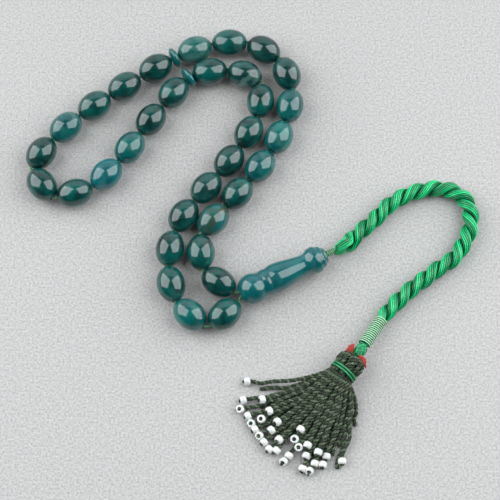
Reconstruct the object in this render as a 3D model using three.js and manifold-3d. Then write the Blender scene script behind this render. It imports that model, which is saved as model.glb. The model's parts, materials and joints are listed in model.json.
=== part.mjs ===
// Misbaha (prayer beads) laid out on a flat surface: 33 oval stone beads on one thread, two
// discs that part them into elevens, a long turned bead (imam) where the thread's ends meet,
// and a twisted silk cord that carries a yarn tassel with small glass beads.
// Millimetres, +Z up. The origin is on the surface, under the middle of the beads and tassel.

import * as THREE from "three";
import { mergeVertices } from "three/addons/utils/BufferGeometryUtils.js";
import Module from "manifold-3d";

const wasm = await Module();
wasm.setup();

// ---- Driving dimensions ------------------------------------------------------------------

const CLEARANCE = 0.3; // between pieces that touch on the real string

const BEAD_LENGTH = 11.8;
const BEAD_DIAMETER = 9.2;
const BEADS_IN_GROUP = 11;
const BEAD_GAP = 0.3; // between the mouths of two beads in line

const THREAD_DIAMETER = 0.9;
const BORE_CLEARANCE = 0.35; // all round the thread
const BORE_RADIUS = THREAD_DIAMETER / 2 + BORE_CLEARANCE;

const DISC_DIAMETER = 7;
const DISC_THICKNESS = 2.4;
const DISC_RIM = 1; // thickness at the rim

const IMAM_LENGTH = 30.5;
const IMAM_BULB = 10; // diameter of its round foot
const IMAM_AZIMUTH = 26; // degrees from +X, foot to tip
const IMAM_SIDE = -12; // degrees from +X, first bead's middle to the foot's middle

const WRAP_DIAMETER = 1.9; // the whipped thread ends at the imam's tip
const WRAP_LENGTH = 3;
const WRAP_IN_BORE = 2;
const EYE_REACH = 3.4; // imam's tip to the eye, the pivot of the tassel cord

const ROPE_DIAMETER = 5.6;
const ROPE_STEPS = 44;
const WHIPPING_DIAMETER = 4;
const KNOT_DIAMETER = 3.8;
const KNOT_LENGTH = 4.8;

const TASSEL_AZIMUTH = 233; // degrees from +X, knot to fringe
const HEAD_DIAMETER = 10;
const HEAD_LENGTH = 4.8;
const NECK_DIAMETER = 6.3;
const TIE_WIDTH = 1.6;
const TIE_THICKNESS = 0.8;
const FAN_AZIMUTHS = [177, 273]; // degrees from +X, of the two edges of the fringe
const FAN_REACH = 21; // from the neck to where the yarns part
const FAN_THICKNESS = 3; // there
const YARN_DIAMETER = 1.5;
const TUFT_DIAMETER = 2.4;
const TUFT_LENGTH = 3.2;

const SEED_DIAMETER = 3;
const SEED_LENGTH = 2.2;
const SEED_BORE = 1.1;

const LOOP_LIFT = 25; // degrees that the left loop can be lifted

// ---- Hand-laid routes --------------------------------------------------------------------

// The thread's way on the surface, from the imam's foot up the outer strand, round the left
// loop and down the inner strand, for beads of BEAD_LENGTH with strands ROUTE_BEAD apart.
const ROUTE_BEAD = 9.2;
const ROUTE = [
  [14.5, -17.5], [9.3, -14.2], [4.6, -10.6], [3, -4], [3.9, 2.4], [9.7, 8.5], [16.7, 17.4], [24.6, 26.9],
  [29.8, 37], [33.6, 48], [32.5, 59.5], [25, 67.8], [13.5, 70.6], [1.5, 67.6], [-5, 64.6],
  [-21.2, 54.3], [-40.3, 39.8], [-48.5, 30.5], [-51.5, 25], [-48.5, 18.6], [-44.5, 14.4],
  [-37.6, 14.6], [-27.4, 21.2], [-12.8, 42], [-0.5, 57.2], [6.5, 59.8], [18, 59.3],
  [23.5, 55.5], [24, 50], [20.2, 38.5], [6.4, 18.5], [-2.4, 8.4], [-6.3, -2.5], [-6.4, -14],
  [-4, -20.3], [0.5, -25], [6, -29], [11.5, -25], [16, -21],
];

// The tassel cord from its eye, as steps on the surface away from the eye, with the height
// of its middle; it ends where the whipping begins.
const ROPE_LIE = ROPE_DIAMETER / 2;
const ROPE_ROUTE = [
  [0.5, 0.3, 4.6], [4.5, 3, 3.4], [8.5, 7.2, ROPE_LIE], [12.5, 10.5, ROPE_LIE],
  [17.5, 15.8, ROPE_LIE], [23, 19.5, ROPE_LIE], [29, 21.5, ROPE_LIE],
  [35, 22.2, ROPE_LIE], [40, 20.8, ROPE_LIE], [43.5, 17.5, ROPE_LIE],
  [44.6, 12.7, ROPE_LIE], [44, 8, ROPE_LIE], [41.8, 3, ROPE_LIE],
  [38.5, -1.8, ROPE_LIE], [33.6, -5.2, ROPE_LIE], [28.8, -8.9, ROPE_LIE],
  [24.5, -12.1, ROPE_LIE], [19.7, -16.6, ROPE_LIE], [15.6, -21, ROPE_LIE],
];
const WHIPPING_ENDS = [[14.6, -22.3, 2.9], [8.9, -30.6, 4]]; // from the eye, as the rope
const KNOT_PLACE = [7.3, -32.9, 4.4]; // from the eye

// Where the small glass beads lie at the fringe's edge, as steps from the knot.
const SEED_PLACES = [
  [-35.4, -9.4], [-36.6, -15.4], [-35.2, -20.4], [-33, -24.6], [-30.2, -28.6],
  [-26.4, -31.2], [-22.6, -32.8], [-18.4, -36.8], [-14.6, -35.2], [-11, -33], [-6.2, -34.5],
];

// ---- Materials ---------------------------------------------------------------------------

function finish(color, roughness, metalness = 0) {
  return new THREE.MeshStandardMaterial({ color, roughness, metalness });
}

const STONE = finish(0x0b5a52, 0.15);
const IMAM_STONE = finish(0x0e6f6c, 0.15);
const THREAD_GREEN = finish(0x7fbf6a, 0.8);
const SILK_GREEN = finish(0x0c9a45, 0.6);
const WHIPPING_GREEN = finish(0x6fb47a, 0.7);
const RED_YARN = finish(0xd8341f, 0.9);
const DARK_YARN = finish(0x2c3a26, 0.95);
const SEED_WHITE = finish(0xf2f2ee, 0.25);

// ---- Geometry helpers --------------------------------------------------------------------

const radians = (degrees) => (degrees * Math.PI) / 180;
const heading = (azimuth) => new THREE.Vector3(Math.cos(azimuth), Math.sin(azimuth), 0);
const vector = ([x, y], z) => new THREE.Vector3(x, y, z);

const group = new THREE.Group();

function add(name, geometry, material, place = new THREE.Vector3(), direction = null) {
  const mesh = new THREE.Mesh(geometry, material);
  mesh.name = name;
  mesh.position.copy(place);
  if (direction) mesh.quaternion.setFromUnitVectors(new THREE.Vector3(1, 0, 0), direction);
  group.add(mesh);
  return mesh;
}

// A turned solid about X from [x, radius] points that start and end on the axis or close.
function turned(profile, sides) {
  const points = profile.map(([x, radius]) => new THREE.Vector2(radius, x));
  return new THREE.LatheGeometry(points, sides).rotateZ(-Math.PI / 2);
}

// A tube whose rings stand exactly at the given points.
class PointPath extends THREE.Curve {
  constructor(points) {
    super();
    this.points = points;
  }
  getPoint(t) {
    const last = this.points.length - 1;
    const index = Math.min(Math.floor(t * last), last - 1);
    const [from, to] = [this.points[index], this.points[index + 1]];
    return from.clone().lerp(to, t * last - index);
  }
  getPointAt(u) {
    return this.getPoint(u);
  }
  getTangentAt(u) {
    return this.getTangent(u);
  }
}

function tube(path, diameter, sides, steps) {
  const section = new THREE.Shape();
  for (let side = 0; side < sides; side += 1) {
    const angle = (2 * Math.PI * side) / sides;
    const corner = [(diameter / 2) * Math.cos(angle), (diameter / 2) * Math.sin(angle)];
    if (side === 0) section.moveTo(...corner);
    else section.lineTo(...corner);
  }
  return new THREE.ExtrudeGeometry(section, { extrudePath: path, steps, curveSegments: 1 });
}

function toSolid(geometry) {
  const bare = geometry.index ? geometry.toNonIndexed() : geometry.clone();
  bare.deleteAttribute("normal");
  bare.deleteAttribute("uv");
  const merged = mergeVertices(bare);
  return new wasm.Manifold(new wasm.Mesh({
    numProp: 3,
    vertProperties: Float32Array.from(merged.attributes.position.array),
    triVerts: Uint32Array.from(merged.index.array),
  }));
}

function fromSolid(solid) {
  const mesh = solid.getMesh();
  const geometry = new THREE.BufferGeometry();
  geometry.setAttribute("position", new THREE.BufferAttribute(mesh.vertProperties, 3));
  geometry.setIndex(new THREE.BufferAttribute(mesh.triVerts, 1));
  geometry.computeVertexNormals();
  return geometry;
}

// The value between low and high where rises(value) turns from false to true.
function solve(rises, low, high) {
  const halvings = 40;
  for (let turn = 0; turn < halvings; turn += 1) {
    const middle = (low + high) / 2;
    if (rises(middle)) high = middle;
    else low = middle;
  }
  return (low + high) / 2;
}

// ---- Beads -------------------------------------------------------------------------------

// An ellipsoid cut off where the bore opens, so its own half length is a little more.
const HALF_AXIS = BEAD_LENGTH / 2 / Math.sqrt(1 - (2 * BORE_RADIUS / BEAD_DIAMETER) ** 2);
const END_RADIUS = (BEAD_DIAMETER / 2) ** 2 / HALF_AXIS; // of curvature at the mouths

function beadGeometry() {
  const [bands, sides] = [8, 14];
  const reach = Math.asin(BEAD_LENGTH / 2 / HALF_AXIS);
  const profile = [];
  for (let band = 0; band <= bands; band += 1) {
    const angle = reach * ((2 * band) / bands - 1);
    profile.push([HALF_AXIS * Math.sin(angle), (BEAD_DIAMETER / 2) * Math.cos(angle)]);
  }
  profile.push(profile[0]);
  return turned(profile, sides);
}

function discGeometry() {
  const sides = 14;
  const [half, rim, radius] = [DISC_THICKNESS / 2, DISC_RIM / 2, DISC_DIAMETER / 2];
  const shoulder = radius * 0.6;
  const right = [[rim, radius], [half * 0.9, shoulder], [half, BORE_RADIUS]];
  const left = right.map(([x, r]) => [-x, r]).reverse();
  return turned([...left, ...right, left[0]], sides);
}

// ---- Stringing ---------------------------------------------------------------------------

const AXIS_HEIGHT = BEAD_DIAMETER / 2;
const groupOf = (letter) => {
  const numbers = Array.from({ length: BEADS_IN_GROUP }, (_, index) => index + 1);
  return numbers.map((number) => `bead_${letter}${String(number).padStart(2, "0")}`);
};

// The pieces in the order in which the thread meets them from the imam.
const STRING = [
  ...groupOf("a").reverse(), "disc_1", ...groupOf("b"), "disc_2", ...groupOf("c"),
];
const FOLDS = [["bead_b01", "bead_b02"], ["bead_b10", "bead_b11"]]; // where the loop lifts
const lengthOf = (name) => (name.startsWith("disc") ? DISC_THICKNESS : BEAD_LENGTH);
const isFold = (before, after) => FOLDS.some(([a, b]) => a === before && b === after);

// Extra room that two bead ends need when they stand at an angle.
const bendRoom = (angle) => 2 * END_RADIUS * (1 / Math.cos(angle / 2) - 1);

function routeCurve(scale) {
  const points = ROUTE.map((point) => vector(point, 0).multiplyScalar(scale).setZ(AXIS_HEIGHT));
  const curve = new THREE.CatmullRomCurve3(points, false, "centripetal");
  curve.arcLengthDivisions = 1500;
  return curve;
}

// Lays the pieces along the route one after another; each spans a chord of it.
function layString(scale, gap) {
  const curve = routeCurve(scale);
  const total = curve.getLength();
  const at = (distance) => curve.getPointAt(Math.min(distance / total, 1));
  const laid = [];
  let mouth = 0;
  for (const name of STRING) {
    const length = lengthOf(name);
    const before = laid[laid.length - 1];
    const chordFrom = (start) => {
      const from = at(start);
      const end = solve((d) => at(d).distanceTo(from) > length, start, start + 2 * length);
      return { name, from, to: at(end), start, end };
    };
    let piece = chordFrom(mouth);
    if (before) {
      const directionOf = ({ from, to }) => to.clone().sub(from).normalize();
      const bend = directionOf(before).angleTo(directionOf(piece));
      const lift = isFold(before.name, name) ? bendRoom(radians(LOOP_LIFT)) : 0;
      piece = chordFrom(mouth + gap + bendRoom(bend) + lift);
    }
    laid.push(piece);
    mouth = piece.end;
  }
  return { laid, left: total - mouth };
}

const closes = (scale, gap) => layString(scale, gap).left;
const closingScale = solve((scale) => closes(scale, BEAD_GAP) > 0, 0.8, 1.5);
const layScale = Math.max(closingScale, BEAD_DIAMETER / ROUTE_BEAD);
const layGap = solve((gap) => closes(layScale, gap) < 0, 0, BEAD_LENGTH);
const { laid } = layString(layScale, layGap);

const bead = beadGeometry();
const disc = discGeometry();
for (const { name, from, to } of laid) {
  const middle = from.clone().lerp(to, 0.5);
  const direction = to.clone().sub(from).normalize();
  add(name, name.startsWith("disc") ? disc : bead, STONE, middle, direction);
}

// ---- Imam --------------------------------------------------------------------------------

const THREAD_OFFSET = THREAD_DIAMETER / 2 + BORE_CLEARANCE / 2; // two runs side by side
const IMAM_BORE = THREAD_OFFSET + BORE_RADIUS;
const IMAM_HEIGHT = IMAM_BULB / 2;

function imamGeometry() {
  const sides = 18;
  const bulb = IMAM_BULB / 2;
  const mouth = IMAM_BORE + 0.6;
  const footReach = Math.sqrt(bulb ** 2 - mouth ** 2);
  const foot = [];
  const footBands = 7;
  const from = -Math.acos(mouth / bulb);
  const to = radians(42);
  for (let band = 0; band <= footBands; band += 1) {
    const angle = from + ((to - from) * band) / footBands;
    foot.push([footReach + bulb * Math.sin(angle), bulb * Math.cos(angle)]);
  }
  // Waist, barrel, neck, flange and end ring, as shares of the length and the bulb's radius.
  const body = [
    [0.27, 0.8], [0.29, 0.86], [0.33, 0.87], [0.35, 0.85], [0.39, 0.93], [0.45, 0.94],
    [0.55, 0.86], [0.66, 0.72], [0.74, 0.66], [0.78, 0.69], [0.83, 0.86], [0.87, 0.89],
    [0.905, 0.86], [0.92, 0.72], [0.94, 0.72], [0.965, 0.68], [0.975, 0.52], [1, 0.47],
  ].map(([share, radius]) => [share * IMAM_LENGTH, radius * bulb]);
  const outer = [...foot, ...body];
  return turned([...outer, [IMAM_LENGTH, IMAM_BORE], [outer[0][0], IMAM_BORE], outer[0]], sides);
}

// The foot lies against the side of the first bead with the clearance between them.
const first = laid[0];
const firstAxis = first.from.clone().sub(first.to);
const sideAngle = Math.atan2(firstAxis.y, firstAxis.x) - radians(IMAM_SIDE);
const beadReach = 1 / Math.hypot(
  Math.cos(sideAngle) / HALF_AXIS,
  Math.sin(sideAngle) / (BEAD_DIAMETER / 2),
);
const bulbPlace = first.from.clone().lerp(first.to, 0.5)
  .addScaledVector(heading(radians(IMAM_SIDE)), beadReach + IMAM_BULB / 2 + CLEARANCE + 0.1)
  .setZ(IMAM_HEIGHT);
const imamAxis = heading(radians(IMAM_AZIMUTH));
const footToBulb = Math.sqrt((IMAM_BULB / 2) ** 2 - (IMAM_BORE + 0.6) ** 2);
const imamFoot = bulbPlace.clone().addScaledVector(imamAxis, -footToBulb);
const alongImam = (distance) => imamFoot.clone().addScaledVector(imamAxis, distance);
add("imam", imamGeometry(), IMAM_STONE, imamFoot, imamAxis);

// ---- Thread ------------------------------------------------------------------------------

const THREAD_SIDES = 8;
const imamSide = new THREE.Vector3(-imamAxis.y, imamAxis.x, 0);

// One run inside the imam, from its foot to just short of the whipped ends.
function imamRun(side) {
  const deep = IMAM_LENGTH - WRAP_IN_BORE - CLEARANCE;
  return [0, deep].map((distance) => (
    alongImam(distance).addScaledVector(imamSide, side * THREAD_OFFSET)));
}

function threadNode(name, points) {
  const path = new PointPath(points);
  add(name, tube(path, THREAD_DIAMETER, THREAD_SIDES, points.length - 1), THREAD_GREEN);
}

// The middle of a fold's gap, half the clearance short of it on the side of one piece.
function foldPoint(before, after, side) {
  const [a, b] = [laid.find((p) => p.name === before).to, laid.find((p) => p.name === after).from];
  const middle = a.clone().lerp(b, 0.5);
  const along = b.clone().sub(a).normalize();
  return middle.addScaledVector(along, (side * CLEARANCE) / 2);
}

const mouthsOf = (pieces) => pieces.flatMap(({ from, to }) => [from, to]);
const foldIndex = FOLDS.map(([, after]) => laid.findIndex(({ name }) => name === after));
threadNode("thread_outer", [
  ...imamRun(1).reverse(), ...mouthsOf(laid.slice(0, foldIndex[0])), foldPoint(...FOLDS[0], -1),
]);
threadNode("thread_loop", [
  foldPoint(...FOLDS[0], 1), ...mouthsOf(laid.slice(...foldIndex)), foldPoint(...FOLDS[1], -1),
]);
threadNode("thread_inner", [
  foldPoint(...FOLDS[1], 1), ...mouthsOf(laid.slice(foldIndex[1])), ...imamRun(-1),
]);

// ---- Tassel cord -------------------------------------------------------------------------

const eye = alongImam(IMAM_LENGTH + EYE_REACH);
const fromEye = ([x, y, z]) => new THREE.Vector3(eye.x + x, eye.y + y, z);

function rod(length, diameter, sides) {
  return turned([[0, 0], [0, diameter / 2], [length, diameter / 2], [length, 0]], sides);
}

function between(name, start, end, diameter, sides, material) {
  const direction = end.clone().sub(start);
  add(name, rod(direction.length(), diameter, sides), material, start, direction.normalize());
}

between("thread_wrap", alongImam(IMAM_LENGTH - WRAP_IN_BORE), alongImam(IMAM_LENGTH + WRAP_LENGTH),
  WRAP_DIAMETER, 10, THREAD_GREEN);

const rope = new THREE.CatmullRomCurve3(ROPE_ROUTE.map(fromEye), false, "centripetal");
add("tassel_cord", tube(rope, ROPE_DIAMETER, 10, ROPE_STEPS), SILK_GREEN);

const [whippingStart, whippingEnd] = WHIPPING_ENDS.map(fromEye);
between("cord_whipping", whippingStart, whippingEnd, WHIPPING_DIAMETER, 12, WHIPPING_GREEN);

// An egg about X, from pole to pole.
function egg(length, diameter, bands, sides) {
  const profile = [];
  for (let band = 0; band <= bands; band += 1) {
    const angle = (Math.PI * band) / bands;
    profile.push([(-length / 2) * Math.cos(angle), (diameter / 2) * Math.sin(angle)]);
  }
  profile[0][1] = 0;
  profile[bands][1] = 0;
  return turned(profile, sides);
}

const knot = fromEye(KNOT_PLACE);
const tasselAxis = heading(radians(TASSEL_AZIMUTH));
add("cord_knot", egg(KNOT_LENGTH, KNOT_DIAMETER, 6, 10), SILK_GREEN, knot, tasselAxis);

// ---- Tassel ------------------------------------------------------------------------------

const tasselSide = new THREE.Vector3(-tasselAxis.y, tasselAxis.x, 0);
const tieInner = NECK_DIAMETER / 2 + CLEARANCE;
const tasselHeight = Math.max(HEAD_DIAMETER / 2, tieInner + TIE_THICKNESS);
const alongTassel = (distance, side = 0) => (
  new THREE.Vector3(knot.x, knot.y, tasselHeight)
    .addScaledVector(tasselAxis, distance)
    .addScaledVector(tasselSide, side));

const headStart = KNOT_LENGTH / 2 + CLEARANCE;
const headEnd = headStart + HEAD_LENGTH;
// Shares of the head's length and of its radius.
const headProfile = [
  [0, 0], [0.03, 0.26], [0.1, 0.62], [0.27, 0.9], [0.5, 1], [0.77, 0.92], [1, 0.68], [1, 0],
].map(([share, radius]) => [share * HEAD_LENGTH, (radius * HEAD_DIAMETER) / 2]);
add("tassel_head", turned(headProfile, 14), DARK_YARN, alongTassel(headStart), tasselAxis);

// The neck of the fringe passes through the tie with the clearance all round.
const neckStart = headEnd + CLEARANCE;
const tieStart = neckStart + CLEARANCE;
const tieProfile = [
  [0, tieInner], [0, tieInner + TIE_THICKNESS / 2], [TIE_WIDTH / 2, tieInner + TIE_THICKNESS],
  [TIE_WIDTH, tieInner + TIE_THICKNESS / 2], [TIE_WIDTH, tieInner],
];
add("neck_tie", turned([...tieProfile, tieProfile[0]], 14), SILK_GREEN,
  alongTassel(tieStart), tasselAxis);

// Two red tufts stand out beside the knot, in front of the head.
for (const [name, side] of [["red_tuft_left", -1], ["red_tuft_right", 1]]) {
  const middle = knot.clone()
    .addScaledVector(tasselAxis, headStart - TUFT_DIAMETER / 2)
    .addScaledVector(tasselSide, side * (KNOT_DIAMETER / 2 + TUFT_LENGTH / 2));
  const direction = tasselSide.clone().multiplyScalar(side);
  add(name, egg(TUFT_LENGTH, TUFT_DIAMETER, 6, 10), RED_YARN, middle, direction);
}

const fromKnot = ([x, y], z) => new THREE.Vector3(knot.x + x, knot.y + y, z);

// The small glass beads: turned rings that lie at the ends of their yarns.
const seedProfile = (() => {
  const [half, outer, inner] = [SEED_LENGTH / 2, SEED_DIAMETER / 2, SEED_BORE / 2];
  return [
    [-half, inner], [-half, outer * 0.62], [-half * 0.45, outer], [half * 0.45, outer],
    [half, outer * 0.62], [half, inner], [-half, inner],
  ];
})();
const seed = turned(seedProfile, 10);
const fanStart = tieStart + TIE_WIDTH + CLEARANCE;
const yarnFoot = alongTassel(fanStart);
const seeds = SEED_PLACES.map((place) => {
  const middle = fromKnot(place, SEED_DIAMETER / 2);
  const direction = middle.clone().sub(yarnFoot).setZ(0).normalize();
  return { middle, direction };
});
seeds.forEach(({ middle, direction }, index) => {
  const name = `seed_bead_${String(index + 1).padStart(2, "0")}`;
  add(name, seed, SEED_WHITE, middle, direction);
});

// The fringe: its neck, the closed fan of yarns that comes down from the neck to the surface
// and thins towards the rim, and the free ends that reach the glass beads.
function fringeGeometry() {
  const neck = NECK_DIAMETER / 2;
  const top = tasselHeight + neck;
  const apex = alongTassel(fanStart + neck).setZ(0);
  const [first, last] = FAN_AZIMUTHS.map(radians);
  const quarter = Math.PI / 2;
  const outline = new THREE.Shape();
  outline.absarc(apex.x, apex.y, FAN_REACH, first, last);
  outline.absarc(apex.x, apex.y, neck, last + quarter, first - quarter + 2 * Math.PI);
  const fan = toSolid(new THREE.ExtrudeGeometry(outline, {
    depth: top, bevelEnabled: false, curveSegments: 14,
  }));

  const landing = 5; // from the apex to where the yarns meet the surface
  const side = new THREE.Shape([
    [-neck, tasselHeight - neck], [0, tasselHeight - neck], [landing, 0], [FAN_REACH, 0],
    [FAN_REACH, FAN_THICKNESS], [0, top], [-neck, top],
  ].map(([along, height]) => new THREE.Vector2(along, height)));
  const wide = 2 * FAN_REACH;
  const wedge = new THREE.ExtrudeGeometry(side, { depth: wide, bevelEnabled: false })
    .translate(0, 0, -wide / 2)
    .rotateX(quarter)
    .rotateZ(radians(TASSEL_AZIMUTH))
    .translate(apex.x, apex.y, 0);
  let solid = fan.intersect(toSolid(wedge));

  const join = (geometry, place, direction) => {
    const turn = new THREE.Quaternion().setFromUnitVectors(new THREE.Vector3(1, 0, 0), direction);
    geometry.applyQuaternion(turn).translate(place.x, place.y, place.z);
    solid = solid.add(toSolid(geometry));
  };
  join(rod(fanStart + neck - neckStart, NECK_DIAMETER, 14), alongTassel(neckStart), tasselAxis);
  const joined = 6; // of each free end lies inside the fan
  for (const { middle, direction } of seeds) {
    const end = middle.clone().addScaledVector(direction, -SEED_LENGTH / 2 - CLEARANCE);
    end.z = YARN_DIAMETER / 2;
    const reach = end.distanceTo(apex.clone().setZ(end.z)) - FAN_REACH + joined;
    join(rod(reach, YARN_DIAMETER, 8), end.clone().addScaledVector(direction, -reach), direction);
  }
  return fromSolid(solid);
}
add("fringe", fringeGeometry(), DARK_YARN);

// The origin is under the middle of everything but the threads and the tassel cord.
const CORDS = ["thread_outer", "thread_loop", "thread_inner", "tassel_cord"];
const extent = new THREE.Box3();
for (const mesh of group.children) {
  if (!CORDS.includes(mesh.name)) extent.expandByObject(mesh);
}
const middleOfAll = extent.getCenter(new THREE.Vector3());
for (const mesh of group.children) mesh.position.sub(middleOfAll.setZ(0));

export default group;
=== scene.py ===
"""Misbaha (prayer beads) laid out on a surface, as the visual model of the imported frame.

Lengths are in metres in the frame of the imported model: +Z is up and the surface is z = 0.
"""

import json
import math
import random

import bmesh
import bpy
from mathutils import Matrix, Vector


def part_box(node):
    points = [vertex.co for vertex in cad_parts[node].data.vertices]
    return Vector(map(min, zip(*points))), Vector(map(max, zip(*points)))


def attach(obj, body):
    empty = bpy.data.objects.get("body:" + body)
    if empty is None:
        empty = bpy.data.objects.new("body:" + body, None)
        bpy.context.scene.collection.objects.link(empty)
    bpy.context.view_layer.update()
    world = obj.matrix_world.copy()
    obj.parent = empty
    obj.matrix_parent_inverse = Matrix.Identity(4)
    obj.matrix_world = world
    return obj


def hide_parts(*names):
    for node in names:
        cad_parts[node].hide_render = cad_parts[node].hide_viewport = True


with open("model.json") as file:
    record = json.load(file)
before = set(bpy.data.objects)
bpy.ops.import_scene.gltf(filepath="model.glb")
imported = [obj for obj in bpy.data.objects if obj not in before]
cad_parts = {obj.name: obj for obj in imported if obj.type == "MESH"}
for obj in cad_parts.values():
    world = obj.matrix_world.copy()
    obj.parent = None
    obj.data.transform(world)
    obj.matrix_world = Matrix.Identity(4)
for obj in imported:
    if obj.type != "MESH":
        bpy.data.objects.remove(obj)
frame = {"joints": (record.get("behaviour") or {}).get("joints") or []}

bl_info = {
    "name": "Misbaha Prayer Beads",
    "version": (1, 0, 0),
    "blender": (4, 5, 0),
    "location": "View3D > Sidebar > Misbaha",
    "description": "Builds a string of stone prayer beads with a silk cord and a tassel",
    "category": "Add Mesh",
}

MM = 0.001
UP = Vector((0, 0, 1))
JOINTS = {joint["name"]: joint for joint in frame["joints"]}
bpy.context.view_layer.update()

# ---- Names and places from the frame --------------------------------------------------

GROUP_SIZE = 11
BEADS_A = [f"bead_a{number:02d}" for number in range(1, GROUP_SIZE + 1)]
BEADS_B = [f"bead_b{number:02d}" for number in range(1, GROUP_SIZE + 1)]
BEADS_C = [f"bead_c{number:02d}" for number in range(1, GROUP_SIZE + 1)]
DISCS = ["disc_1", "disc_2"]
STRING = BEADS_A[::-1] + DISCS[:1] + BEADS_B + DISCS[1:] + BEADS_C
SEED_NODES = [f"seed_bead_{number:02d}" for number in range(1, GROUP_SIZE + 1)]

BEAD_LENGTH = 11.8 * MM
DISC_THICKNESS = 2.4 * MM
IMAM_LENGTH = 30.5 * MM
EYE_REACH = 3.4 * MM
WRAP_IN_BORE = 2 * MM
TASSEL_AZIMUTH = math.radians(233)


def joint_place(name):
    """The point and the unit axis of a joint."""
    joint = JOINTS[name]
    return Vector(joint["pos_m"]), Vector(joint["axis"]).normalized()


def middle_of(node):
    low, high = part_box(node)
    return (low + high) / 2


def heading(azimuth):
    return Vector((math.cos(azimuth), math.sin(azimuth), 0))


EYE = joint_place("cord_swing")[0]
KNOT = joint_place("tassel_swing")[0]
IMAM_AXIS = joint_place("imam_turn")[1]
IMAM_FOOT = Vector(EYE) - IMAM_AXIS * (IMAM_LENGTH + EYE_REACH)
TASSEL_AXIS = heading(TASSEL_AZIMUTH)
TASSEL_SIDE = UP.cross(TASSEL_AXIS)
TASSEL_HEIGHT = middle_of("tassel_head").z

# The silk cord from its eye, as steps in millimetres on the surface away from the eye, with
# the height of its middle.
ROPE_LIE = 2.8
ROPE_ROUTE = [
    (0.5, 0.3, 4.6), (4.5, 3, 3.4), (8.5, 7.2, ROPE_LIE), (12.5, 10.5, ROPE_LIE),
    (17.5, 15.8, ROPE_LIE), (23, 19.5, ROPE_LIE), (29, 21.5, ROPE_LIE),
    (35, 22.2, ROPE_LIE), (40, 20.8, ROPE_LIE), (43.5, 17.5, ROPE_LIE),
    (44.6, 12.7, ROPE_LIE), (44, 8, ROPE_LIE), (41.8, 3, ROPE_LIE),
    (38.5, -1.8, ROPE_LIE), (33.6, -5.2, ROPE_LIE), (28.8, -8.9, ROPE_LIE),
    (24.5, -12.1, ROPE_LIE), (19.7, -16.6, ROPE_LIE), (15.6, -21, ROPE_LIE),
]
WHIPPING_ENDS = [(14.6, -22.3, 2.9), (8.9, -30.6, 4)]
# The share of a turn that the plies have made at the eye, so that they leave it side by side.
EYE_PHASE = 0.25

# The small glass beads that lie on or between the ones the frame has, as steps in
# millimetres from the knot, with the height of their middle.
LOOSE_SEEDS = [
    (-30.8, -15.4, 2.6), (-37.6, -18.2, 1.5), (-34.1, -22.8, 1.6), (-31, -21.6, 2.9),
    (-28.6, -19.2, 3.2), (-26.1, -22.5, 2.8), (-28, -25, 2.2), (-31.6, -26.6, 1.5),
    (-25.6, -28, 2.3), (-28.6, -30.8, 1.5), (-20.8, -27.9, 3), (-18.9, -25, 3.4),
    (-19.5, -30.3, 2.2), (-24.2, -34.6, 1.5), (-16.8, -29.8, 2.9), (-17.2, -32.9, 1.7),
    (-16.3, -37.6, 1.5), (-12.2, -35.6, 1.5), (-13.6, -32, 3),
]

# Where the yarns end that carry no bead, in the same way.
BARE_ENDS = [(-2, -22.2, 1.2), (-8.8, -31.2, 1), (-7.6, -35.4, 0.8), (-10.5, -29, 1.5)]


# ---- Sizes and colours a user may change ----------------------------------------------


def colour(name, description, default):
    return bpy.props.FloatVectorProperty(
        name=name, description=description, default=default,
        subtype="COLOR", size=3, min=0.0, max=1.0,
    )


def length(name, description, default):
    return bpy.props.FloatProperty(
        name=name, description=description, default=default,
        subtype="DISTANCE", unit="LENGTH", min=0.0,
    )


class MisbahaStone(bpy.types.PropertyGroup):
    bead_diameter: length("Bead diameter", "Across an oval bead", 9.2 * MM)
    bead_bore: length("Bead bore", "Diameter of the hole through a bead", 1.6 * MM)
    disc_diameter: length("Disc diameter", "Across a separator disc", 7 * MM)
    imam_bulb: length("Imam foot", "Across the imam's round foot", 10 * MM)
    deep: colour("Deep green", "The darkest part of most beads", (0.0, 0.0215, 0.0195))
    teal: colour("Teal", "The middle tone of most beads", (0.0, 0.079, 0.068))
    blue: colour("Blue green", "The tone of the bluest bead", (0.0, 0.125, 0.145))
    pale: colour("Pale vein", "Milky veins and clouds", (0.09, 0.17, 0.155))
    moss: colour("Moss", "Olive brown patches", (0.04, 0.035, 0.012))


class MisbahaYarn(bpy.types.PropertyGroup):
    thread_diameter: length("Thread", "Diameter of the bead thread", 0.9 * MM)
    rope_diameter: length("Silk cord", "Diameter of the twisted silk cord", 5.6 * MM)
    rope_pitch: length("Cord pitch", "One full turn of the silk cord", 11.2 * MM)
    whipping_diameter: length("Whipping", "Across the wound end of the cord", 4.2 * MM)
    yarn_diameter: length("Yarn", "Diameter of a fringe yarn", 1.5 * MM)
    silk: colour("Silk", "The green of the silk cord", (0.0, 0.13, 0.043))
    mint: colour("Mint", "The pale green of thread and whipping", (0.09, 0.27, 0.125))
    red: colour("Red", "The two tufts", (0.42, 0.025, 0.014))
    dark: colour("Dark yarn", "The fringe and the tassel's head", (0.007, 0.0095, 0.006))


class MisbahaStage(bpy.types.PropertyGroup):
    distance: length("Camera distance", "From the camera to the surface", 450 * MM)
    elevation: bpy.props.FloatProperty(
        name="Camera elevation", description="Angle of the view above the surface",
        default=math.radians(71), subtype="ANGLE", unit="ROTATION",
    )
    softbox_power: bpy.props.FloatProperty(
        name="Softbox power", description="Power of each of the two side lights",
        default=6.3, min=0.0, unit="POWER",
    )
    floor: colour("Floor", "The pale surface", (0.364, 0.354, 0.348))


# ---- Node helpers ---------------------------------------------------------------------


def place(tree, kind, inputs=None, **settings):
    """Adds a node. An input given as a socket is linked, any other value is set."""
    node = tree.nodes.new(kind)
    for name, value in settings.items():
        setattr(node, name, value)
    for key, value in (inputs or {}).items():
        if isinstance(value, bpy.types.NodeSocket):
            tree.links.new(value, node.inputs[key])
        else:
            node.inputs[key].default_value = value
    return node


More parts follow.
